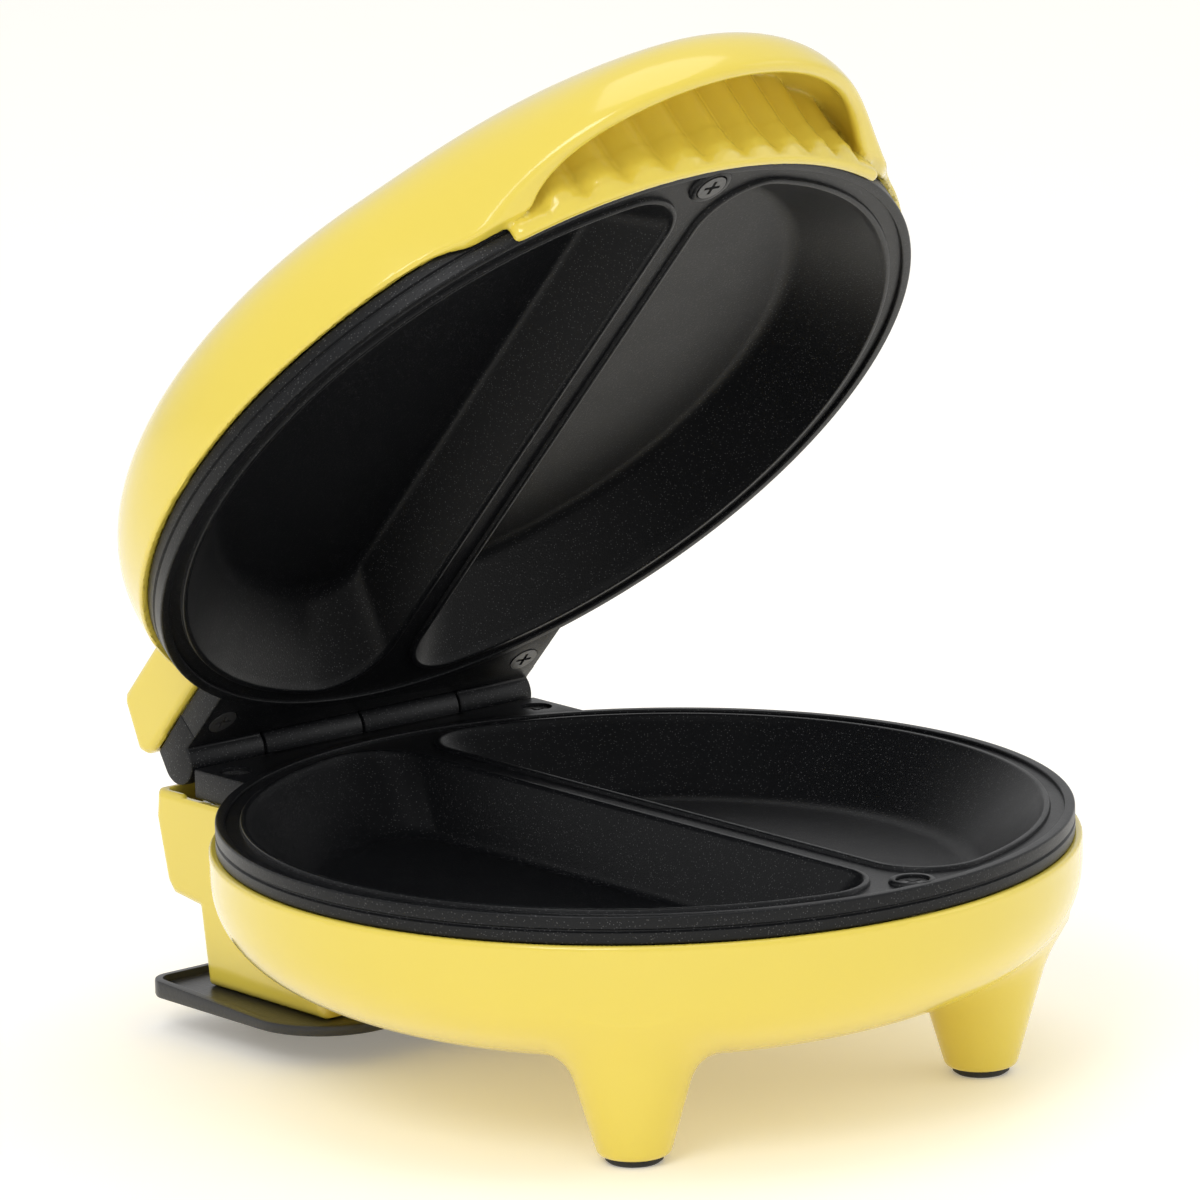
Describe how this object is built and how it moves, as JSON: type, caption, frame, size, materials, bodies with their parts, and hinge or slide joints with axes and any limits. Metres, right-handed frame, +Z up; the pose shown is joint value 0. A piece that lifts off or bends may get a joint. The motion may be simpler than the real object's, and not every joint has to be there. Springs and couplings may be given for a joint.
{
  "type": "omelette maker",
  "caption": "Round two-well omelette maker with a hinged domed lid, hooded handle, front legs and rear cord store, lid open.",
  "frame": {"origin": "on the table, below the middle of the whole object with its lid open at rest", "axes": "+Z up; -Y towards the handle and the front legs; +Y towards the hinge and the cord store; +X to the user's right"},
  "size_m": [0.1992, 0.2268, 0.2427],
  "materials": {
    "yellow_plastic": "gloss",
    "cast_nonstick": "dark non-stick coat with a fine sparkle",
    "element_steel": "dull",
    "reflector_steel": "satin",
    "ceramic": "matt",
    "fuse_body": "satin",
    "wire_silicone": "matt",
    "black_rubber": "matt",
    "pin_steel": "satin",
    "screw_steel": "black oxide",
    "black_plastic": "satin",
    "red_lens": "clear gloss",
    "green_lens": "clear gloss",
    "board": "matt",
    "lamp_glass": "clear"
  },
  "bodies": {
    "base": {"base_shell": "yellow_plastic", "lower_plate": "cast_nonstick", "lower_element": "element_steel", "lower_reflector": "reflector_steel", "thermostat": "ceramic", "thermal_fuse": "fuse_body", "terminal_block": "ceramic", "supply_wires": "wire_silicone", "cord_bush": "black_rubber", "left_hinge_pin": "pin_steel", "right_hinge_pin": "pin_steel", "lower_rear_screws": "screw_steel", "lower_front_screw": "screw_steel", "left_front_foot": "black_rubber", "right_front_foot": "black_rubber", "rear_feet": "black_rubber", "cord_plate": "black_plastic", "cord_plate_screws": "screw_steel"},
    "lid": {"lid_shell": "yellow_plastic", "upper_plate": "cast_nonstick", "upper_element": "element_steel", "upper_reflector": "reflector_steel", "upper_rear_screws": "screw_steel", "upper_front_screw": "screw_steel", "power_lens": "red_lens", "ready_lens": "green_lens", "lamp_board": "board", "power_lamp": "lamp_glass", "ready_lamp": "lamp_glass"}
  },
  "joints": [
    {"name": "lid_hinge", "type": "hinge", "parent": "base", "child": "lid", "pos_m": [0, 0.09457, 0.062], "axis": [-1, 0, 0], "range_deg": [-47, 45]}
  ]
}
